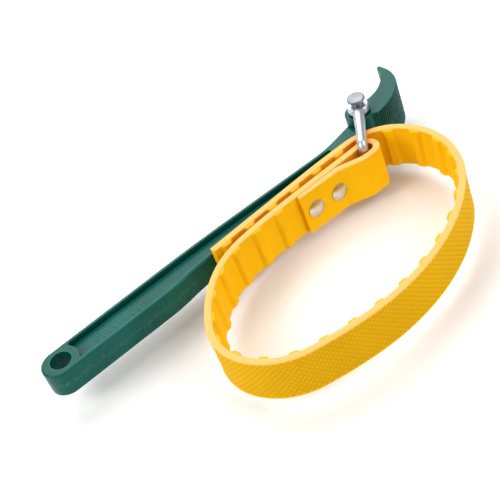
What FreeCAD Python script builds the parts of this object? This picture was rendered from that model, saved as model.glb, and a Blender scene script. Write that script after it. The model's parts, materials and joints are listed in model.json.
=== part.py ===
"""Oil filter wrench with a rubber strap: a green cast handle with a toothed crescent head, a
steel shackle on a clevis pin, and a ribbed yellow strap that loops round the filter.

The handle lies along +X with its hanging hole at the origin. Z is square to the handle, and
z = 0 is the mid-plane of every piece. The strap loop hangs on the -Y side.
"""
import FreeCAD, Part
import math
import os

V = FreeCAD.Vector
UP = V(0, 0, 1)

# ---------------------------------------------------------------- driving sizes, mm and degrees
# Grip and neck of the handle
pin_x = 249.0              # from the hanging hole to the clevis pin, along the handle
pin_y = 8.5                # how far the clevis pin stands to the side of the grip's centreline
grip_half_width = 11.0
grip_thickness = 18.0
hole_radius = 7.0          # hanging hole
end_wall = 6.0             # metal left beyond the hanging hole
eye_land = 4.5             # flat ring round the hanging hole
grip_length = 78.0         # the grip keeps its full width up to here
shoulder_length = 18.0     # then its lower side curves in to the neck over this length
shoulder_radius = 100.0
top_straight = 110.0       # the upper side stays straight up to about here
top_bend_radius = 1200.0
waist_height = 6.2         # upper side of the neck at its waist, above the centreline
waist_to_pin = 34.0        # from the waist to the clevis pin
waist_radius = 70.0
root_height = 11.5         # upper side of the neck where it runs into the boss
root_to_pin = 8.0
recess_depth = 3.6         # sunk panel on both broad sides
rim_width = 2.4            # wall left round the sunk panel
recess_to_pin = 30.0       # from the panel's far end to the clevis pin
recess_slant = 6.0         # the panel's far end leans by this much
grip_edge_round = 1.4
panel_corner_round = 1.8

# Crescent head
head_thickness = 30.0
head_to_pin = 13.0         # from the face where the head meets the neck to the clevis pin
boss_radius = 10.0
tooth_pitch = 1.9          # teeth along the outer side of the crescent
tooth_depth = 0.7
tooth_crest_rise = 0.2     # how far the grooves have opened past the crests
head_edge_round = 0.8

# Clevis pin and its washer
pin_radius = 3.6
pin_head_radius = 5.8
pin_head_thickness = 2.4
pin_head_edge_round = 0.84
pin_head_gap = 3.0         # the pin stands this far out of the upper eye
running_gap = 0.08         # radial clearance of the shackle's eyes and of the washer on the pin
pin_seat_gap = 0.04        # radial clearance of the pin in the boss
washer_radius = 6.6
washer_thickness = 1.2
washer_gap = 0.3           # between the lower eye and the washer
peened_radius = 4.6        # the pin's lower end is spread to this radius
peened_face_radius = 4.0   # and narrows to this one at its ends
peened_thickness = 1.5

# Shackle
shackle_length = 39.3      # from the clevis pin to the bar that the strap is folded round
shackle_angle = 232.3      # direction from the pin to the bar, counted from +X
bar_radius = 3.1
bend_radius = 3.7
eye_radius = 7.2
eye_thickness = 5.6
eye_edge_round = 1.12
eye_face_margin = 0.5      # the eye's flat face is wider than the washer by this much
arm_root_radius = 3.9      # the arms are a little fatter at the eyes
arm_root_to_pin = 4.3      # they start at this distance from the pin
arm_taper_length = 21.6    # and have thinned to the bar's size after this length
arm_gap = 0.5              # between the shackle's arms and the head and strap below them

# Strap
strap_width = 30.0
strap_thickness = 4.5
rib_pitch = 18.8
rib_foot = 8.0             # width of a rib where it leaves the strap
rib_crest = 5.0
rib_height = 2.2
ribs_per_length = 2
kerf = 0.7                 # slit between two hinged lengths of the strap
# how far each hinged length turns between its ends, from the riveted eye round to the tail
loop_turns = (6, 33, 23, 54, 49, 9, 15, 16, 18, 32, 44, 59)
tail_turns = (4, 0, 0)
swing_lengths = (3, 10)    # the far side between these two lengths swings to set the tail's level
tail_gap = 0.78            # between the backs of the rivets and the ribs of the tail
neck_gap = 0.9             # between the tail and the neck of the handle

# Riveted eye of the strap, folded round the shackle's bar
eye_length = 59.0          # from the bar to the first hinge
flap_length = 53.3         # from the bar back to the end of the folded flap
fold_slack = 3.0           # how far the fold reaches past the bar
pocket_run = 8.0           # straight part of the pocket beside the fold
pocket_gap = 0.35          # between the bar and the pocket's walls
pocket_slope = 22.0
flap_end_thickness = 2.9   # the flap is squeezed thinner towards its end
seam_gap = 0.3             # slit between the flap and the strap under it
flap_knee_round = 12.0

# Rivets through the flap
rivet_first = 25.8         # from the bar to the nearer rivet
rivet_spacing = 18.5
rivet_cap_radius = 6.0
rivet_dome_height = 1.9
rivet_rim = 0.7            # straight edge of the dome
rivet_post_radius = 2.0
rivet_hole_gap = 0.05
rivet_seat_margin = 0.2    # the flat seat is wider than the cap by this much
rivet_back_radius = 4.8
rivet_back_thickness = 1.0

# Modelling allowances
overshoot = 1.0            # cutting tools reach this far past what they cut
tolerance = 0.01

# ---------------------------------------------------------------- derived places
pin = V(pin_x, pin_y, 0)
arm_direction = V(math.cos(math.radians(shackle_angle)), math.sin(math.radians(shackle_angle)), 0)
bar = pin + arm_direction * shackle_length
arm_bottom = max(head_thickness, strap_width) / 2 + arm_gap
arm_level = arm_bottom + bar_radius
eye_top = arm_bottom + eye_thickness
length_pitch = ribs_per_length * rib_pitch
strap_half = strap_thickness / 2
layer_y = bar.y + bar_radius + pocket_gap + strap_half
flap_face_y = layer_y - strap_half - seam_gap
first_hinge = V(bar.x - eye_length, layer_y, 0)


def rivet_places():
    return [bar.x - rivet_first - index * rivet_spacing for index in range(2)]


# ---------------------------------------------------------------- helpers
def line(a, b):
    return Part.LineSegment(a, b).toShape()


def arc(a, b, c):
    return Part.Arc(a, b, c).toShape()


def prism(edges, bottom, top):
    """Solid between two heights over a closed outline."""
    face = Part.Face(Part.Wire(edges))
    face.translate(UP * bottom)
    return face.extrude(UP * (top - bottom))


def slab(edges, thickness):
    return prism(edges, -thickness / 2, thickness / 2)


def polygon(points):
    closed = points + points[:1]
    return [line(a, b) for a, b in zip(closed, closed[1:])]


def rounded_outline(corners):
    """Closed outline through (corner, radius) pairs, with an arc at each corner.

    An arc takes at most half of the side on each hand, so that neighbouring arcs never meet.
    """
    points = [corner for corner, radius in corners]
    ends = []
    edges = []
    for index, (corner, radius) in enumerate(corners):
        back = points[index - 1] - corner
        ahead = points[(index + 1) % len(points)] - corner
        half_angle = back.getAngle(ahead) / 2
        reach = min(radius / math.tan(half_angle), back.Length / 2, ahead.Length / 2)
        start = corner + back.normalize() * reach
        end = corner + ahead.normalize() * reach
        ends.append((start, end))
        if radius > 0:
            bisector = (back + ahead).normalize()
            arc_radius = reach * math.tan(half_angle)
            middle = corner + bisector * (arc_radius / math.sin(half_angle) - arc_radius)
            edges.append(arc(start, middle, end))
    for index, (start, end) in enumerate(ends):
        before = ends[index - 1][1]
        if before.distanceToPoint(start) > tolerance / 100:
            edges.append(line(before, start))
    return Part.sortEdges(edges)[0]


def upright_edges(shape):
    """Straight edges parallel to Z."""
    boxes = [(edge, edge.BoundBox) for edge in shape.Edges]
    return [edge for edge, box in boxes
            if box.ZLength > tolerance and box.XLength < tolerance and box.YLength < tolerance]


def upright_edges_at(shape, place):
    """Edges parallel to Z that stand at one place of the plan."""
    return [edge for edge in upright_edges(shape)
            if math.hypot(edge.CenterOfMass.x - place.x, edge.CenterOfMass.y - place.y) < tolerance]


def flat_edges(shape):
    """Edges that lie at one height."""
    return [edge for edge in shape.Edges if edge.BoundBox.ZLength < tolerance]


def upright_hole(radius, place, bottom, top):
    """Cutting cylinder that reaches past both faces of what it goes through."""
    height = top - bottom + 2 * overshoot
    return Part.makeCylinder(radius, height, V(place.x, place.y, bottom - overshoot))


def save(name, shape):
    shape.exportStep("parts/" + name + ".step")
    print(name, "valid", shape.isValid(), "solids", len(shape.Solids), "mm3", round(shape.Volume, 1))


# ---------------------------------------------------------------- strap path
class Length:
    """One length of strap, bent to a circular arc, or straight."""

    def __init__(self, start, heading, turn):
        self.start = start
        self.heading = heading
        self.turn = turn

    def at(self, along, inward=0.0):
        """Point at a distance along the centreline and a distance towards the inside."""
        angle = math.radians(self.heading)
        bend = math.radians(self.turn) / length_pitch
        now = angle + bend * along
        if bend == 0:
            step = V(math.cos(angle), math.sin(angle), 0) * along
        else:
            step = V(math.sin(now) - math.sin(angle), math.cos(angle) - math.cos(now), 0) * (1 / bend)
        return self.start + step + V(-math.sin(now), math.cos(now), 0) * inward

    def side(self, begin, end, inward):
        """Edge that follows the length at one distance from its centreline."""
        a = self.at(begin, inward)
        b = self.at(end, inward)
        if self.turn == 0:
            return line(a, b)
        return arc(a, self.at((begin + end) / 2, inward), b)


def strap_lengths(swing):
    """All lengths of the strap, with the far side of the loop swung by a small angle."""
    turns = list(loop_turns + tail_turns)
    turns[swing_lengths[0]] += swing
    turns[swing_lengths[1]] -= swing
    made = []
    start = first_hinge
    heading = 180.0
    for turn in turns:
        here = Length(start, heading, turn)
        made.append(here)
        start = here.at(length_pitch)
        heading += turn
    return made


def level_at(length, inward, x):
    """Y of a straight length's side, carried on to one x."""
    on_side = length.at(0, inward)
    return on_side.y + (x - on_side.x) * math.tan(math.radians(length.heading))


def fitted_lengths():
    """The strap's lengths, with the loop swung until the tail's ribs just clear the rivets."""
    farther_rivet = rivet_places()[-1]
    wanted = layer_y + strap_half + rivet_back_thickness + tail_gap
    swing = 0.0
    for attempt in range(8):
        made = strap_lengths(swing)
        miss = wanted - level_at(made[-1], strap_half + rib_height, farther_rivet)
        span = made[swing_lengths[1]].start.x - made[swing_lengths[0]].start.x
        swing += math.degrees(miss / span)
    return made


lengths = fitted_lengths()
loop = lengths[:len(loop_turns)]
tail = lengths[len(loop_turns):]


def tail_face(x):
    """Side of the straight tail that faces the handle, at one x."""
    return level_at(tail[-1], -strap_half, x)


def neck_low(x):
    return tail_face(x) + neck_gap


# ---------------------------------------------------------------- handle
def plate_outline(inset, far_top, far_low):
    """Plan of grip and neck, drawn in all round by inset, up to its far end."""
    half = grip_half_width - inset
    end_x = -hole_radius - end_wall + inset
    neck_x = grip_length + shoulder_length
    return rounded_outline([
        (V(end_x, half, 0), half),
        (V(top_straight, half, 0), top_bend_radius),
        (V(pin_x - waist_to_pin, waist_height - inset, 0), waist_radius),
        (far_top, 0),
        (far_low, 0),
        (V(neck_x, neck_low(neck_x) + inset, 0), shoulder_radius),
        (V(grip_length, -half, 0), shoulder_radius),
        (V(end_x, -half, 0), half),
    ])


def sunk_panel():
    """Space of the sunk panel on the upper broad side: it stops at the ring round the hole."""
    floor = grip_thickness / 2 - recess_depth
    far = pin_x - recess_to_pin
    far_low = far - recess_slant
    outline = plate_outline(rim_width, V(far, waist_height - rim_width, 0),
                            V(far_low, neck_low(far_low) + rim_width, 0))
    space = prism(outline, floor, grip_thickness)
    ring = upright_hole(hole_radius + eye_land, V(0, 0, 0), floor, grip_thickness)
    behind = Part.makeBox(2 * grip_half_width, 4 * grip_half_width, grip_thickness,
                          V(-2 * grip_half_width, -2 * grip_half_width, floor - overshoot))
    space = space.cut(ring).cut(behind)
    return space.makeFillet(panel_corner_round, upright_edges(space))


def plate():
    root_x = pin_x - root_to_pin
    outline = plate_outline(0, V(root_x, root_height, 0), V(root_x, neck_low(root_x), 0))
    body = slab(outline, grip_thickness)
    rim = [edge for edge in flat_edges(body) if edge.BoundBox.XMin < root_x - tolerance]
    body = body.makeFillet(grip_edge_round, rim)
    upper = sunk_panel()
    lower = upper.mirror(V(0, 0, 0), UP)
    return body.cut(upper).cut(lower)


def from_pin(x, y):
    return pin + V(x, y, 0)


# the crescent, from the boss round its tip and back, in offsets from the clevis pin
hook_inside = (from_pin(7.6, 5.2), from_pin(26.0, 9.6), from_pin(37.0, 23.0))
hook_tip = from_pin(38.4, 24.8)
hook_back = (from_pin(39.8, 23.0), from_pin(38.6, 9.0), from_pin(30.5, -2.2))
hook_belly = (hook_back[2], from_pin(19.0, -9.0), from_pin(6.5, -11.7))
hook_middle = from_pin(22.0, 4.0)


def teeth():
    """Upright V grooves along the back and the belly of the crescent."""
    cutters = []
    for edge in (arc(*hook_back), arc(*hook_belly)):
        count = round(edge.Length / tooth_pitch)
        for index in range(count):
            place = edge.getParameterByLength((index + 0.5) * edge.Length / count)
            on_edge = edge.valueAt(place)
            along = edge.tangentAt(place)
            out = V(along.y, -along.x, 0)
            if out.dot(on_edge - hook_middle) < 0:
                out = out * -1
            half = along * (0.5 * tooth_pitch)
            crest = on_edge + out * tooth_crest_rise
            wedge = [on_edge - out * tooth_depth, crest + half, on_edge + out * tooth_pitch, crest - half]
            cutters.append(slab(polygon(wedge), head_thickness + 2 * overshoot))
    return cutters


def crescent_and_boss():
    inside_end = from_pin(1.0, -9.0)
    crescent = slab([
        arc(*hook_inside),
        arc(hook_inside[2], hook_tip, hook_back[0]),
        arc(*hook_back),
        arc(*hook_belly),
        line(hook_belly[2], inside_end),
        line(inside_end, hook_inside[0]),
    ], head_thickness)
    boss = Part.makeCylinder(boss_radius, head_thickness, pin - UP * (head_thickness / 2))
    solid = crescent.fuse(boss).removeSplitter()
    solid = solid.makeFillet(head_edge_round, flat_edges(solid)).cut(teeth())
    core_top = arm_bottom - arm_gap
    core = Part.makeCylinder(boss_radius - head_edge_round, 2 * core_top, pin - UP * core_top)
    return solid.fuse(core)


def casting():
    """Grip, neck and head, which are one casting."""
    solid = plate().fuse(crescent_and_boss()).removeSplitter()
    hole = upright_hole(hole_radius, V(0, 0, 0), -grip_thickness / 2, grip_thickness / 2)
    bore = upright_hole(pin_radius + pin_seat_gap, pin, -arm_bottom, arm_bottom)
    return solid.cut(hole).cut(bore)


def handle_and_head():
    """The casting in two solids that meet face to face across the end of the neck."""
    whole = casting()
    far_side = Part.makeBox(pin_x, 2 * pin_x, 2 * eye_top, V(pin_x - head_to_pin, -pin_x, -eye_top))
    return whole.cut(far_side), whole.common(far_side)


# ---------------------------------------------------------------- clevis pin and washer
washer_top = -(eye_top + washer_gap)
washer_bottom = washer_top - washer_thickness


def clevis_pin():
    head_bottom = eye_top + pin_head_gap
    tail_bottom = washer_bottom - peened_thickness
    shank = Part.makeCylinder(pin_radius, head_bottom - tail_bottom, pin + UP * tail_bottom)
    top = Part.makeCylinder(pin_head_radius, pin_head_thickness, pin + UP * head_bottom)
    top = top.makeFillet(pin_head_edge_round, flat_edges(top))
    half_height = peened_thickness / 2
    middle = pin + UP * (washer_bottom - half_height)
    spread = [Part.makeCone(peened_radius, peened_face_radius, half_height, middle, axis)
              for axis in (UP, UP * -1)]
    return shank.fuse([top] + spread).removeSplitter()


def pin_washer():
    disc = Part.makeCylinder(washer_radius, washer_thickness, pin + UP * washer_bottom)
    return disc.cut(upright_hole(pin_radius + running_gap, pin, washer_bottom, washer_top))


# ---------------------------------------------------------------- shackle
def shackle():
    arm_start = pin + arm_direction * arm_root_to_pin + UP * arm_level
    arm_end = bar - arm_direction * bend_radius + UP * arm_level
    bend_middle = (bar - arm_direction * (bend_radius * (1 - math.sin(math.pi / 4)))
                   + UP * (arm_level - bend_radius * (1 - math.cos(math.pi / 4))))
    bar_top = bar + UP * (arm_level - bend_radius)
    spine = Part.Wire([line(arm_start, arm_end), arc(arm_end, bend_middle, bar_top), line(bar_top, bar)])
    ring = Part.Wire([Part.makeCircle(bar_radius, arm_start, arm_direction)])
    half_bow = spine.makePipeShell([ring], True, False)
    arm_root = Part.makeCone(arm_root_radius, bar_radius, arm_taper_length, arm_start, arm_direction)
    eye = Part.makeCylinder(eye_radius, eye_thickness, pin + UP * arm_bottom)
    eye = eye.makeFillet(eye_edge_round, flat_edges(eye))
    half = half_bow.fuse([arm_root, eye])
    reach = 3 * shackle_length
    below = Part.makeBox(reach, reach, arm_bottom, pin - V(reach / 2, reach / 2, 0))
    round_bar = Part.makeCylinder(bar_radius + tolerance, arm_bottom, bar)
    bend_keep = Part.makeCylinder(bend_radius, arm_bottom, bar)
    flattened = half.cut(below.cut(bend_keep.fuse(round_bar)))
    bore = upright_hole(pin_radius + running_gap, pin, arm_bottom, eye_top)
    face = Part.makeCylinder(washer_radius + eye_face_margin, arm_root_radius, pin + UP * eye_top)
    upper = flattened.cut(bore).cut(face)
    return upper.fuse(upper.mirror(V(0, 0, 0), UP)).removeSplitter()


# ---------------------------------------------------------------- riveted eye of the strap
flap_end_x = bar.x - flap_length
flap_knee_x = bar.x - rivet_first + rivet_cap_radius


def flap_outer_y(x):
    """Outer side of the flap, which thins evenly towards its end."""
    share = (x - flap_end_x) / (flap_knee_x - flap_end_x)
    thickness = flap_end_thickness + (strap_thickness - flap_end_thickness) * share
    return flap_face_y - thickness


def rivet_seat_y(x):
    """Level of the flat seat under a rivet's dome."""
    return flap_outer_y(x - rivet_cap_radius)


def strap_eye():
    top_y = layer_y + strap_half
    fold = V(bar.x + fold_slack, bar.y, 0)
    inner = bar_radius + pocket_gap
    outer = inner + strap_thickness
    run_x = fold.x - pocket_run
    slope = math.tan(math.radians(pocket_slope))
    outer_knee = V(flap_knee_x, flap_outer_y(flap_knee_x), 0)
    outer_run = V(outer_knee.x + (outer_knee.y - (fold.y - outer)) / slope, fold.y - outer, 0)
    start_x = first_hinge.x + kerf / 2
    body = slab([
        line(V(start_x, layer_y - strap_half, 0), V(start_x, top_y, 0)),
        line(V(start_x, top_y, 0), V(fold.x, top_y, 0)),
        arc(V(fold.x, top_y, 0), fold + V(outer, 0, 0), fold - V(0, outer, 0)),
        line(fold - V(0, outer, 0), outer_run),
        line(outer_run, outer_knee),
        line(outer_knee, V(flap_end_x, flap_outer_y(flap_end_x), 0)),
        line(V(flap_end_x, flap_outer_y(flap_end_x), 0), V(flap_end_x, layer_y - strap_half, 0)),
        line(V(flap_end_x, layer_y - strap_half, 0), V(start_x, layer_y - strap_half, 0)),
    ], strap_width)
    for corner in (outer_run, outer_knee):
        body = body.makeFillet(flap_knee_round, upright_edges_at(body, corner))
    inner_top = layer_y - strap_half
    inner_run = V(run_x, fold.y - inner, 0)
    tip = V(run_x - (flap_face_y - inner_run.y) / slope, flap_face_y, 0)
    open_x = flap_end_x - overshoot
    pocket = slab([
        line(V(open_x, inner_top, 0), V(fold.x, inner_top, 0)),
        arc(V(fold.x, inner_top, 0), fold + V(inner, 0, 0), fold - V(0, inner, 0)),
        line(fold - V(0, inner, 0), inner_run),
        line(inner_run, tip),
        line(tip, V(open_x, flap_face_y, 0)),
        line(V(open_x, flap_face_y, 0), V(open_x, inner_top, 0)),
    ], strap_width + 2 * overshoot)
    body = body.cut(pocket)
    for x in rivet_places():
        seat_y = rivet_seat_y(x)
        hole = Part.makeCylinder(rivet_post_radius + rivet_hole_gap, 4 * strap_thickness,
                                 V(x, seat_y - strap_thickness, 0), V(0, 1, 0))
        seat = Part.makeCylinder(rivet_cap_radius + rivet_seat_margin, 2 * strap_thickness,
                                 V(x, seat_y, 0), V(0, -1, 0))
        body = body.cut(hole).cut(seat)
    return body


def rivet(x):
    """Domed cap and post in one piece, pushed through the flap and the strap."""
    seat_y = rivet_seat_y(x)
    out = V(0, -1, 0)
    rim = Part.makeCylinder(rivet_cap_radius, rivet_rim, V(x, seat_y, 0), out)
    sphere_radius = (rivet_cap_radius ** 2 + rivet_dome_height ** 2) / (2 * rivet_dome_height)
    centre = V(x, seat_y - rivet_rim - rivet_dome_height + sphere_radius, 0)
    ball = Part.makeSphere(sphere_radius, centre)
    keep = Part.makeCylinder(rivet_cap_radius, 2 * rivet_dome_height, V(x, seat_y - rivet_rim, 0), out)
    back_y = layer_y + strap_half + rivet_back_thickness
    post = Part.makeCylinder(rivet_post_radius, back_y - seat_y, V(x, seat_y, 0), V(0, 1, 0))
    return rim.fuse([ball.common(keep), post]).removeSplitter()


def rivet_back(x):
    """Washer that the post is spread over, on the side of the strap that faces the tail."""
    face_y = layer_y + strap_half
    disc = Part.makeCylinder(rivet_back_radius, rivet_back_thickness, V(x, face_y, 0), V(0, 1, 0))
    bore = Part.makeCylinder(rivet_post_radius + rivet_hole_gap, rivet_back_thickness,
                             V(x, face_y, 0), V(0, 1, 0))
    return disc.cut(bore)


# ---------------------------------------------------------------- hinged lengths of the strap
def strap_piece(parts):
    """Lengths of strap joined end to end, with ribs inside and half a kerf off the first end."""
    solids = []
    last = len(parts) - 1
    for index, part in enumerate(parts):
        begin = kerf / 2 if index == 0 else 0.0
        end = length_pitch - (kerf / 2 if index == last and part is not tail[-1] else 0.0)
        solids.append(slab([
            part.side(begin, end, -strap_half),
            line(part.at(end, -strap_half), part.at(end, strap_half)),
            part.side(begin, end, strap_half),
            line(part.at(begin, strap_half), part.at(begin, -strap_half)),
        ], strap_width))
        for rib in range(ribs_per_length):
            middle = (rib + 0.5) * rib_pitch
            solids.append(slab(polygon([
                part.at(middle - rib_foot / 2, 0),
                part.at(middle - rib_foot / 2, strap_half),
                part.at(middle - rib_crest / 2, strap_half + rib_height),
                part.at(middle + rib_crest / 2, strap_half + rib_height),
                part.at(middle + rib_foot / 2, strap_half),
                part.at(middle + rib_foot / 2, 0),
            ]), strap_width))
    return solids[0].fuse(solids[1:]).removeSplitter()


# ---------------------------------------------------------------- build
def main():
    os.makedirs("parts", exist_ok=True)
    near_part, far_part = handle_and_head()
    save("handle", near_part)
    save("head", far_part)
    save("clevis_pin", clevis_pin())
    save("pin_washer", pin_washer())
    save("shackle", shackle())
    save("strap_eye", strap_eye())
    save("rivets", Part.makeCompound([rivet(x) for x in rivet_places()]))
    save("rivet_backs", Part.makeCompound([rivet_back(x) for x in rivet_places()]))
    for number, part in enumerate(loop, start=1):
        save("strap_%02d" % number, strap_piece([part]))
    save("strap_tail", strap_piece(tail))


main()
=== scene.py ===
"""Looks of the oil filter wrench: one moulded rubber strap over the hinged CAD lengths, raised bars on
the grip, and procedural materials on the enamelled casting, the plated steel and the nickel rivets."""
import json
import math

import bmesh
import bpy
from mathutils import Matrix, Vector


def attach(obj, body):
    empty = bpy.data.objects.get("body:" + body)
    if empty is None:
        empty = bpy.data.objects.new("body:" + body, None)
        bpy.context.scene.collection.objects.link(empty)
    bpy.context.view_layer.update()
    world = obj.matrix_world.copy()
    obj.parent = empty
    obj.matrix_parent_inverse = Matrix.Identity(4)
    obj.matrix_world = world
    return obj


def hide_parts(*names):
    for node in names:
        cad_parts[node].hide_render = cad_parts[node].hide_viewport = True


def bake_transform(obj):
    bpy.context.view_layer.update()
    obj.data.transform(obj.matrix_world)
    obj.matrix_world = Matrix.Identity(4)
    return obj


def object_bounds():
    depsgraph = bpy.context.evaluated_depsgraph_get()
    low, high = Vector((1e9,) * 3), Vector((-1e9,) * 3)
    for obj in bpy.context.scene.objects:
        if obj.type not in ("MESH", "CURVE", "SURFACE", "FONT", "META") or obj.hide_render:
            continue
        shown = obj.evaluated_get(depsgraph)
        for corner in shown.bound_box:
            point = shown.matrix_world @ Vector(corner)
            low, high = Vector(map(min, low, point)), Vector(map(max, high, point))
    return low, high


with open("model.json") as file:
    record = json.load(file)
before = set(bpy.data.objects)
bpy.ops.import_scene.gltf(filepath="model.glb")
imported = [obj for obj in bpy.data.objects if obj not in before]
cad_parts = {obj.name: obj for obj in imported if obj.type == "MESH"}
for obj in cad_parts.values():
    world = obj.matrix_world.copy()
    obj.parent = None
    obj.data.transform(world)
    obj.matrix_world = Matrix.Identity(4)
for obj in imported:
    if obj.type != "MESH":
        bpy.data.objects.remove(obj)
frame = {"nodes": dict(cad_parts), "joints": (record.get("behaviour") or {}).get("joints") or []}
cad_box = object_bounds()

MM = 0.001
SHARP_ANGLE = 50.0                     # degrees between faces, past which an edge stays crisp

# ---------------------------------------------------------------- sizes shared with the CAD model
STRAP_WIDTH = 30.0 * MM
STRAP_THICKNESS = 4.5 * MM
RIB_PITCH = 18.8 * MM
RIB_FOOT = 8.0 * MM
RIB_CREST = 5.0 * MM
RIB_HEIGHT = 2.2 * MM
TAIL_TURNS = (4.0, 0.0, 0.0)
BAR_RADIUS = 3.1 * MM
POCKET_GAP = 0.35 * MM
POCKET_RUN = 8.0 * MM
POCKET_SLOPE = 22.0
FOLD_SLACK = 3.0 * MM
FLAP_LENGTH = 53.3 * MM
FLAP_END_THICKNESS = 2.9 * MM
FLAP_KNEE = 19.8 * MM
SEAM_GAP = 0.3 * MM

# ---------------------------------------------------------------- finer detail of the strap
KNURL_COUNT = 8                        # diamonds across the strap's width
KNURL_STEPS = 6                        # mesh columns in one diamond
KNURL_DEPTH = 0.5 * MM
KNURL_START = 4.0 * MM                 # the knurling grows over this length, past the smooth flap and fold
EDGE_ROUND = 0.5 * MM
CORNER_STEPS = 3                       # mesh steps round each of the strap's four rounded edges
EDGE_SHEEN_START = 0.65 * MM            # painted sheen: the colour pales towards the strap's edges, from this far inside
EDGE_SHEEN_FULL = 0.25 * MM             # and is palest from here on
RIB_ROUND = 0.45 * MM
RIB_END = 0.8 * MM                     # the ribs round off over this length before the strap's edges
RIB_END_SHADE = 0.6                    # painted shade: the ribs' ends are darker, by this share of the knurling's painted groove shade
INNER_COLUMNS = 6                      # mesh columns across one rib end, and across half of the rest
KNEE_RADIUS = 14.0 * MM
BLEND_REACH = 7.0 * MM                 # distance along the path on each side of a hinge

# ---------------------------------------------------------------- raised bars on the grip's sunk panel
PANEL_FLOOR = 5.4 * MM
BAR_COUNT = 9
BAR_PITCH = 4.3 * MM
BAR_START = 24.0 * MM
BAR_LENGTH = 9.0 * MM
BAR_WIDTH = 1.9 * MM
BAR_RISE = 0.7 * MM
BAR_SHOULDER = BAR_RISE * 0.8          # height at which the sides turn over to the flat top
BAR_DRAFT = 0.35 * MM
BAR_SLANT = 14.0                       # degrees
BAR_END_STEPS = 6                      # mesh steps round each end of a bar

# ---------------------------------------------------------------- detail shared by the materials
NOISE_ROUGHNESS = 0.55
OCCLUSION_SAMPLES = 8

# ---------------------------------------------------------------- places that follow from the frame
STRAP_HALF = STRAP_THICKNESS / 2
joints = {joint["name"]: joint for joint in frame["joints"]}
bodies_along_strap = ["strap_eye"] + ["strap_%02d" % number for number in range(1, 13)] + ["strap_tail"]


def joint_place(name):
    return Vector(joints[name]["pos_m"])


# ---------------------------------------------------------------- the strap's path
class Path:
    """Straight runs and tangent arcs in the mid-plane, measured along their length."""

    def __init__(self, start, heading):
        self.spans = []
        self.length = 0.0
        self.end = Vector((start.x, start.y))
        self.heading = heading

    def add(self, length, turn=0.0):
        self.spans.append((self.length, length, self.end.copy(), self.heading, turn))
        self.end = self.place(self.length + length)[0]
        self.length += length
        self.heading += turn

    def add_arc_to(self, target):
        """Tangent arc that ends at a given place."""
        chord = target - self.end
        turn = 2 * (math.atan2(chord.y, chord.x) - self.heading)
        turn = (turn + math.pi) % (2 * math.pi) - math.pi
        length = chord.length if abs(turn) < 1e-6 else chord.length * (turn / 2) / math.sin(turn / 2)
        self.add(length, turn)
        return length

    def place(self, along):
        """Point and heading at a distance along the path."""
        start, length, point, heading, turn = self.spans[0]
        for span in self.spans:
            if along >= span[0]:
                start, length, point, heading, turn = span
        run = along - start
        if turn == 0:
            return point + Vector((math.cos(heading), math.sin(heading))) * run, heading
        bend = turn / length
        now = heading + bend * run
        step = Vector((math.sin(now) - math.sin(heading), math.cos(heading) - math.cos(now))) / bend
        return point + step, now


def strap_path():
    """From the end of the riveted flap, round the bar and the whole loop, to the end of the tail."""
    bar = joint_place("strap_swivel")
    first_hinge = joint_place("loop_cinch")
    fold_radius = BAR_RADIUS + POCKET_GAP + STRAP_HALF
    fold_x = bar.x + FOLD_SLACK
    flap_y = first_hinge.y - STRAP_HALF - SEAM_GAP - STRAP_HALF
    run_y = bar.y - fold_radius
    slope = math.radians(POCKET_SLOPE)
    knee_reach = KNEE_RADIUS * math.tan(slope / 2)
    lower_knee_x = fold_x - POCKET_RUN - STRAP_HALF * math.tan(slope / 2)
    upper_knee_x = lower_knee_x - (flap_y - run_y) / math.tan(slope)
    slope_length = (flap_y - run_y) / math.sin(slope)
    start = Vector((bar.x - FLAP_LENGTH, flap_y))
    path = Path(start, 0.0)
    path.add(upper_knee_x - knee_reach - start.x)
    path.add(KNEE_RADIUS * slope, -slope)
    path.add(slope_length - 2 * knee_reach)
    path.add(KNEE_RADIUS * slope, slope)
    path.add(fold_x - lower_knee_x - knee_reach)
    path.add(fold_radius * math.pi, math.pi)
    path.add(fold_x - first_hinge.x)
    hinges = [path.length]
    for number in range(2, len(bodies_along_strap)):
        pitch = path.add_arc_to(joint_place("strap_flex_%02d" % number).to_2d())
        hinges.append(path.length)
    for turn in TAIL_TURNS:
        path.add(pitch, math.radians(turn))
    return path, hinges


path, hinges = strap_path()
PITCH = hinges[1] - hinges[0]


def smooth_step(value, low, high):
    share = min(max((value - low) / (high - low), 0.0), 1.0)
    return share * share * (3 - 2 * share)


def rib_rise(along):
    """Height of the inner side's ribs; there are none between the fold and the flap."""
    from_hinge = along - hinges[0]
    if from_hinge < 0:
        return 0.0
    off_centre = abs((from_hinge % RIB_PITCH) - RIB_PITCH / 2)
    return RIB_HEIGHT * (1 - smooth_step(off_centre, RIB_CREST / 2 - RIB_ROUND, RIB_FOOT / 2 + RIB_ROUND))


def outer_reach(along):
    """From the centreline to the outer face; the flap thins towards its end."""
    share = min(along / (FLAP_LENGTH - FLAP_KNEE), 1.0)
    return FLAP_END_THICKNESS + (STRAP_THICKNESS - FLAP_END_THICKNESS) * share - STRAP_HALF


def knurl(along, height):
    """Depth of the diamond knurling below the outer face."""
    pitch = STRAP_WIDTH / KNURL_COUNT
    one = (along + height) / pitch % 1
    other = (along - height) / pitch % 1
    groove = 1 - 2 * min(abs(one - 0.5), abs(other - 0.5))
    from_edge = STRAP_WIDTH / 2 - abs(height)
    fade = smooth_step(from_edge, EDGE_ROUND, 3 * EDGE_ROUND) * smooth_step(along - hinges[0], 0, KNURL_START)
    return KNURL_DEPTH * groove * fade


def inner_reach(along, height):
    """From the centreline to the inner face; each rib rounds off before the strap's edges."""
    from_edge = STRAP_WIDTH / 2 - abs(height) - EDGE_ROUND
    share = min(max(from_edge / RIB_END, 0.0), 1.0)
    return STRAP_HALF + rib_rise(along) * math.sqrt(1 - (1 - share) ** 2)


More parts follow.
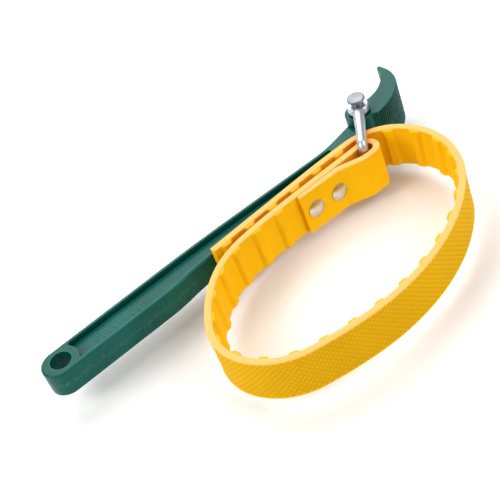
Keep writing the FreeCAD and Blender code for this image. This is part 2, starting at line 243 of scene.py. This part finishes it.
def inner_heights():
    """Heights of the inner face's mesh columns, close together at the ends of the ribs."""
    half = STRAP_WIDTH / 2 - EDGE_ROUND
    ends = [half - RIB_END * step / INNER_COLUMNS for step in range(1, INNER_COLUMNS)]
    middle = half - RIB_END
    rest = [middle * (1 - step / INNER_COLUMNS) for step in range(INNER_COLUMNS)]
    upper = ends + rest
    return upper + [0.0] + [-height for height in reversed(upper)]


def section(along):
    """Closed cross-section as (distance towards the inside, height, painted shade) points."""
    half = STRAP_WIDTH / 2
    outside = outer_reach(along)
    columns = KNURL_COUNT * KNURL_STEPS
    ring = []
    for index in range(1, columns):
        height = -half + STRAP_WIDTH * index / columns
        depth = knurl(along, height)
        ring.append((-outside + depth, height, depth / KNURL_DEPTH))
    corners = ((-outside, half, 180), (STRAP_HALF, half, 90), (STRAP_HALF, -half, 0), (-outside, -half, -90))
    for number, (x, z, angle) in enumerate(corners):
        centre_x = x - math.copysign(EDGE_ROUND, x)
        centre_z = z - math.copysign(EDGE_ROUND, z)
        for step in range(CORNER_STEPS + 1):
            now = math.radians(angle - step * 90 / CORNER_STEPS)
            ring.append((centre_x + EDGE_ROUND * math.cos(now), centre_z + EDGE_ROUND * math.sin(now), 0.0))
        if number == 1:
            end_shade = RIB_END_SHADE * rib_rise(along) / RIB_HEIGHT
            for height in inner_heights():
                on_end = abs(height) > half - EDGE_ROUND - RIB_END
                ring.append((inner_reach(along, height), height, end_shade if on_end else 0.0))
    return ring


def join_rings(mesh, rings):
    """Smooth skin over rings of corners, with a flat cap on each end."""
    size = len(rings[0])
    for ring, following in zip(rings, rings[1:]):
        for index in range(size):
            after = (index + 1) % size
            corners = (ring[index], ring[after], following[after], following[index])
            mesh.faces.new(corners).smooth = True
    mesh.faces.new(list(reversed(rings[0])))
    mesh.faces.new(rings[-1])


def make_piece(name, mesh, material):
    """Visible piece from a finished mesh, which is freed."""
    data = bpy.data.meshes.new(name)
    mesh.to_mesh(data)
    mesh.free()
    data.set_sharp_from_angle(angle=math.radians(SHARP_ANGLE))
    piece = bpy.data.objects.new(name, data)
    bpy.context.scene.collection.objects.link(piece)
    data.materials.append(material)
    return piece


def strap_skin(name, begin, end, material):
    """Closed length of strap between two distances along the path."""
    step = STRAP_WIDTH / KNURL_COUNT / KNURL_STEPS
    count = max(2, round((end - begin) / step))
    mesh = bmesh.new()
    # painted shade of each corner, read by the rubber's material
    shade_layer = mesh.verts.layers.float.new("shade")
    rings = []
    for index in range(count + 1):
        along = begin + (end - begin) * index / count
        point, heading = path.place(along)
        inward = Vector((-math.sin(heading), math.cos(heading)))
        ring = []
        for x, z, shade in section(along):
            where = point + inward * x
            corner = mesh.verts.new((where.x, where.y, z))
            corner[shade_layer] = shade
            ring.append(corner)
        rings.append(ring)
    join_rings(mesh, rings)
    bmesh.ops.recalc_face_normals(mesh, faces=mesh.faces)
    piece = make_piece(name, mesh, material)
    return piece


# ---------------------------------------------------------------- materials
class Nodes:
    """Short names for building one node material."""

    def __init__(self, name):
        self.material = bpy.data.materials.new(name)
        self.material.use_nodes = True
        self.tree = self.material.node_tree
        self.shader = self.tree.nodes["Principled BSDF"]
        self.place = self.add("ShaderNodeTexCoord").outputs["Object"]

    def add(self, kind, **settings):
        node = self.tree.nodes.new(kind)
        for key, value in settings.items():
            setattr(node, key, value)
        return node

    def link(self, output, target):
        self.tree.links.new(output, target)

    def noise(self, scale, detail=4.0):
        node = self.add("ShaderNodeTexNoise")
        node.inputs["Scale"].default_value = scale
        node.inputs["Detail"].default_value = detail
        node.inputs["Roughness"].default_value = NOISE_ROUGHNESS
        self.link(self.place, node.inputs["Vector"])
        return node.outputs["Fac"]

    def ramp(self, value, stops):
        node = self.add("ShaderNodeValToRGB")
        elements = node.color_ramp.elements
        while len(elements) < len(stops):
            elements.new(0.5)
        for element, (position, colour) in zip(elements, stops):
            element.position = position
            element.color = (*colour, 1.0)
        self.link(value, node.inputs["Fac"])
        return node.outputs["Color"]

    def range(self, value, low, high, out_low, out_high):
        node = self.add("ShaderNodeMapRange")
        self.link(value, node.inputs["Value"])
        for key, number in (("From Min", low), ("From Max", high), ("To Min", out_low), ("To Max", out_high)):
            node.inputs[key].default_value = number
        return node.outputs["Result"]

    def math(self, operation, first, second=0.0):
        node = self.add("ShaderNodeMath", operation=operation)
        for socket, value in zip(node.inputs, (first, second)):
            if isinstance(value, (int, float)):
                socket.default_value = value
            else:
                self.link(value, socket)
        return node.outputs["Value"]

    def height(self):
        node = self.add("ShaderNodeSeparateXYZ")
        self.link(self.place, node.inputs["Vector"])
        return node.outputs["Z"]

    def parting_line(self):
        """Ragged, broken line round the casting at mid-height: 1 on it, 0 away from it."""
        wander = self.range(self.noise(350.0), 0.3, 0.7, -1.6 * MM, 1.6 * MM)
        away = self.math("ABSOLUTE", self.math("ADD", self.height(), wander))
        line = self.range(away, 0.6 * MM, 1.6 * MM, 1.0, 0.0)
        broken = self.range(self.noise(1100.0, 3.0), 0.52, 0.62, 0.0, 0.45)
        return self.math("MULTIPLY", line, broken)

    def occlusion(self, reach, closed, free, inside=False):
        """1 in corners that are closed within this reach, 0 on free faces; on sharp edges if inside."""
        node = self.add("ShaderNodeAmbientOcclusion", samples=OCCLUSION_SAMPLES, inside=inside)
        node.inputs["Distance"].default_value = reach
        return self.range(node.outputs["AO"], closed, free, 1.0, 0.0)

    def mix(self, factor, first, colour):
        """Blends what the first output gives towards a fixed colour."""
        node = self.add("ShaderNodeMix", data_type="RGBA")
        from_socket, to_socket = [socket for socket in node.inputs if socket.type == "RGBA"]
        self.link(factor, node.inputs["Factor"])
        self.link(first, from_socket)
        to_socket.default_value = (*colour, 1.0)
        return next(socket for socket in node.outputs if socket.type == "RGBA")

    def bump(self, height, distance, strength, below=None):
        node = self.add("ShaderNodeBump")
        node.inputs["Strength"].default_value = strength
        node.inputs["Distance"].default_value = distance
        self.link(height, node.inputs["Height"])
        if below:
            self.link(below, node.inputs["Normal"])
        return node.outputs["Normal"]

    def set(self, **values):
        for key, value in values.items():
            self.shader.inputs[key.replace("_", " ")].default_value = value


def green_enamel():
    nodes = Nodes("green_enamel")
    tone = nodes.ramp(nodes.noise(38.0), ((0.3, (0.002, 0.072, 0.057)), (0.7, (0.005, 0.108, 0.087))))
    # painted shade: the enamel darkens in grooves, between teeth and in the panel's corners
    shaded = nodes.mix(nodes.occlusion(1.6 * MM, 0.55, 0.92), tone, (0.001, 0.016, 0.013))
    # painted highlight: the enamel pales along sharp edges and teeth crests, where light catches them
    edge_highlit = nodes.mix(nodes.occlusion(0.7 * MM, 0.45, 0.90, inside=True), shaded, (0.050, 0.235, 0.200))
    parting = nodes.parting_line()
    # the parting line is the casting's own ridge, bumped below; its paler colour is a painted highlight of
    # the glints it catches
    nodes.link(nodes.mix(parting, edge_highlit, (0.16, 0.36, 0.30)), nodes.shader.inputs["Base Color"])
    nodes.link(nodes.range(nodes.noise(260.0), 0.3, 0.7, 0.22, 0.34), nodes.shader.inputs["Roughness"])
    nodes.set(Specular_IOR_Level=0.14)
    peel = nodes.bump(nodes.noise(420.0, 2.0), 0.22 * MM, 0.5)
    cast = nodes.bump(nodes.noise(90.0, 3.0), 0.5 * MM, 0.35, peel)
    nodes.link(nodes.bump(parting, 0.3 * MM, 0.8, cast), nodes.shader.inputs["Normal"])
    return nodes.material


def yellow_rubber():
    nodes = Nodes("yellow_rubber")
    tone = nodes.ramp(nodes.noise(30.0), ((0.3, (0.92, 0.525, 0.001)), (0.7, (0.96, 0.560, 0.002))))
    shade = nodes.add("ShaderNodeAttribute", attribute_name="shade").outputs["Fac"]
    # painted shade: darker, more orange in the knurling's grooves and on the ribs' ends
    groove_shaded = nodes.mix(nodes.range(shade, 0.10, 0.95, 0.08, 0.52), tone, (0.42, 0.150, 0.0))
    # painted highlight: the strap's edge faces and their rounding pale, as the overhead light's sheen
    off_middle = nodes.math("ABSOLUTE", nodes.height())
    half = STRAP_WIDTH / 2
    edge = nodes.range(off_middle, half - EDGE_SHEEN_START, half - EDGE_SHEEN_FULL, 0.0, 1.0)
    edge_sheen = nodes.mix(edge, groove_shaded, (0.95, 0.50, 0.15))
    # painted shade: darker and more orange inside the loop, the pocket and other closed-in places
    hollow_shaded = nodes.mix(nodes.occlusion(9.0 * MM, 0.10, 0.70), edge_sheen, (0.80, 0.230, 0.0))
    nodes.link(hollow_shaded, nodes.shader.inputs["Base Color"])
    nodes.link(nodes.range(nodes.noise(500.0), 0.3, 0.7, 0.52, 0.66), nodes.shader.inputs["Roughness"])
    nodes.set(Subsurface_Weight=0.08, Subsurface_Scale=3 * MM, Specular_IOR_Level=0.06)
    nodes.set(Subsurface_Radius=(1.0, 0.6, 0.1))
    nodes.link(nodes.bump(nodes.noise(900.0, 3.0), 0.06 * MM, 0.5), nodes.shader.inputs["Normal"])
    return nodes.material


def plated_steel(name, dark, light, rough, smooth):
    nodes = Nodes(name)
    tone = nodes.ramp(nodes.noise(120.0), ((0.35, dark), (0.65, light)))
    # painted shade: the steel darkens in corners and hollows
    shaded = nodes.mix(nodes.occlusion(1.2 * MM, 0.35, 0.95), tone, (0.10, 0.11, 0.12))
    nodes.link(shaded, nodes.shader.inputs["Base Color"])
    nodes.link(nodes.range(nodes.noise(350.0), 0.3, 0.7, smooth, rough), nodes.shader.inputs["Roughness"])
    nodes.set(Metallic=1.0)
    nodes.link(nodes.bump(nodes.noise(600.0, 3.0), 0.08 * MM, 0.6), nodes.shader.inputs["Normal"])
    return nodes.material


def nickel():
    nodes = Nodes("nickel")
    tone = nodes.ramp(nodes.noise(200.0), ((0.35, (0.55, 0.51, 0.45)), (0.65, (0.66, 0.62, 0.56))))
    nodes.link(tone, nodes.shader.inputs["Base Color"])
    nodes.link(nodes.range(nodes.noise(500.0), 0.3, 0.7, 0.14, 0.24), nodes.shader.inputs["Roughness"])
    nodes.set(Metallic=1.0)
    nodes.link(nodes.bump(nodes.noise(300.0, 2.0), 0.04 * MM, 0.4), nodes.shader.inputs["Normal"])
    return nodes.material


def paint(node, material):
    slots = frame["nodes"][node].data.materials
    slots.clear()
    slots.append(material)


# ---------------------------------------------------------------- the strap's pieces
def build_strap():
    """One skin per hinge, meeting in the middle of the lengths between."""
    rubber = yellow_rubber()
    for index, along in enumerate(hinges):
        last = index == len(hinges) - 1
        begin = 0.0 if index == 0 else along - PITCH / 2
        end = path.length if last else along + PITCH / 2
        name = "strap_skin_%02d" % (index + 1)
        piece = strap_skin(name, begin, end, rubber)
        before = path.place(along - BLEND_REACH)[0].to_3d()
        after = path.place(along + BLEND_REACH)[0].to_3d()
        ends = bodies_along_strap[index:index + 2]
        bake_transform(piece)
        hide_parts(*(ends if index == 0 else ends[1:]))


def grip_bar(name, place, material):
    """Round-ended raised bar with sloping sides, its foot sunk a little into the panel."""
    mesh = bmesh.new()
    rings = []
    levels = ((-BAR_RISE / 2, 0.0), (0.0, 0.0), (BAR_SHOULDER, BAR_DRAFT), (BAR_RISE, 2 * BAR_DRAFT))
    for level, inset in levels:
        radius = BAR_WIDTH / 2 - inset
        ring = []
        for side, first_angle in ((1, 0), (-1, 180)):
            middle = side * (BAR_LENGTH - BAR_WIDTH) / 2
            for step in range(BAR_END_STEPS + 1):
                angle = math.radians(step * 180 / BAR_END_STEPS + first_angle)
                x = radius * math.cos(angle)
                y = middle + radius * math.sin(angle)
                ring.append(mesh.verts.new((x, y, level)))
        rings.append(ring)
    join_rings(mesh, rings)
    turn = Matrix.Rotation(math.radians(BAR_SLANT), 4, "Z")
    mesh.transform(Matrix.Translation(place) @ turn)
    piece = make_piece(name, mesh, material)
    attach(piece, "handle")


def build_grip_bars(material):
    for number in range(BAR_COUNT):
        place = Vector((BAR_START + BAR_PITCH * number, 0.0, PANEL_FLOOR))
        grip_bar("grip_bar_%d" % (number + 1), place, material)


# ---------------------------------------------------------------- stage
CAMERA_TARGET = Vector((131.4, -15.4, 0.0)) * MM
CAMERA_DISTANCE = 772.7 * MM
CAMERA_AZIMUTH = -22.6
CAMERA_ELEVATION = 41.19
CAMERA_ROLL = 22.58
CAMERA_LENS = 90.95
WORLD_STRENGTH = 0.66


def build_camera():
    azimuth = math.radians(CAMERA_AZIMUTH)
    elevation = math.radians(CAMERA_ELEVATION)
    roll = math.radians(CAMERA_ROLL)
    back = Vector((math.sin(azimuth) * math.cos(elevation),
                   -math.cos(azimuth) * math.cos(elevation), math.sin(elevation)))
    level = Vector((math.cos(azimuth), math.sin(azimuth), 0.0))
    rise = back.cross(level)
    right = level * math.cos(roll) - rise * math.sin(roll)
    up = back.cross(right)
    camera = bpy.data.objects.new("camera", bpy.data.cameras.new("camera"))
    camera.data.lens = CAMERA_LENS
    camera.data.clip_start = 10 * MM
    turn = Matrix((right, up, back)).transposed().to_4x4()
    camera.matrix_world = Matrix.Translation(CAMERA_TARGET + back * CAMERA_DISTANCE) @ turn
    bpy.context.scene.collection.objects.link(camera)
    bpy.context.scene.camera = camera


def build_light(name, place, size, power):
    light = bpy.data.lights.new(name, "AREA")
    light.shape = "DISK"
    light.size = size
    light.energy = power
    lamp = bpy.data.objects.new(name, light)
    lamp.location = place
    lamp.rotation_mode = "QUATERNION"
    lamp.rotation_quaternion = (Vector(place) - CAMERA_TARGET).to_track_quat("Z", "Y")
    bpy.context.scene.collection.objects.link(lamp)


def build_world():
    """White studio: bright overhead, a little darker towards the horizon."""
    world = bpy.data.worlds.new("studio")
    world.use_nodes = True
    tree = world.node_tree
    background = tree.nodes["Background"]
    place = tree.nodes.new("ShaderNodeTexCoord")
    split = tree.nodes.new("ShaderNodeSeparateXYZ")
    ramp = tree.nodes.new("ShaderNodeValToRGB")
    stops = ((0.0, 0.90), (0.10, 0.40), (0.30, 0.60), (1.0, 1.0))
    while len(ramp.color_ramp.elements) < len(stops):
        ramp.color_ramp.elements.new(0.5)
    for element, (position, grey) in zip(ramp.color_ramp.elements, stops):
        element.position = position
        element.color = (grey, grey, grey, 1.0)
    tree.links.new(place.outputs["Generated"], split.inputs["Vector"])
    tree.links.new(split.outputs["Z"], ramp.inputs["Fac"])
    tree.links.new(ramp.outputs["Color"], background.inputs["Color"])
    background.inputs["Strength"].default_value = WORLD_STRENGTH
    bpy.context.scene.world = world


def build_stage():
    bpy.ops.mesh.primitive_plane_add(size=12.0, location=(0, 0, cad_box[0].z))
    floor = bpy.context.object
    floor.name = "floor"
    nodes = Nodes("floor")
    shade = nodes.ramp(nodes.noise(2.0), ((0.3, (0.90, 0.90, 0.90)), (0.7, (0.93, 0.93, 0.93))))
    nodes.link(shade, nodes.shader.inputs["Base Color"])
    nodes.set(Roughness=0.9)
    floor.data.materials.append(nodes.material)
    build_world()
    build_light("back_softbox", (0.45, 0.85, 0.95), 1.4, 14.0)
    build_light("left_softbox", (-0.9, 0.1, 0.8), 0.6, 8.0)
    build_light("right_fill", (0.85, -0.85, 0.9), 0.9, 7.5)
    bpy.context.scene.view_settings.view_transform = "Standard"


build_strap()
enamel = green_enamel()
for node in ("handle", "head"):
    paint(node, enamel)
build_grip_bars(enamel)
steel = plated_steel("zinc_steel", (0.50, 0.52, 0.57), (0.62, 0.65, 0.70), 0.46, 0.34)
paint("shackle", steel)
dull_steel = plated_steel("dull_steel", (0.20, 0.22, 0.24), (0.28, 0.30, 0.33), 0.50, 0.38)
for node in ("clevis_pin", "pin_washer"):
    paint(node, dull_steel)
bright = nickel()
for node in ("rivets", "rivet_backs"):
    paint(node, bright)
build_camera()
build_stage()
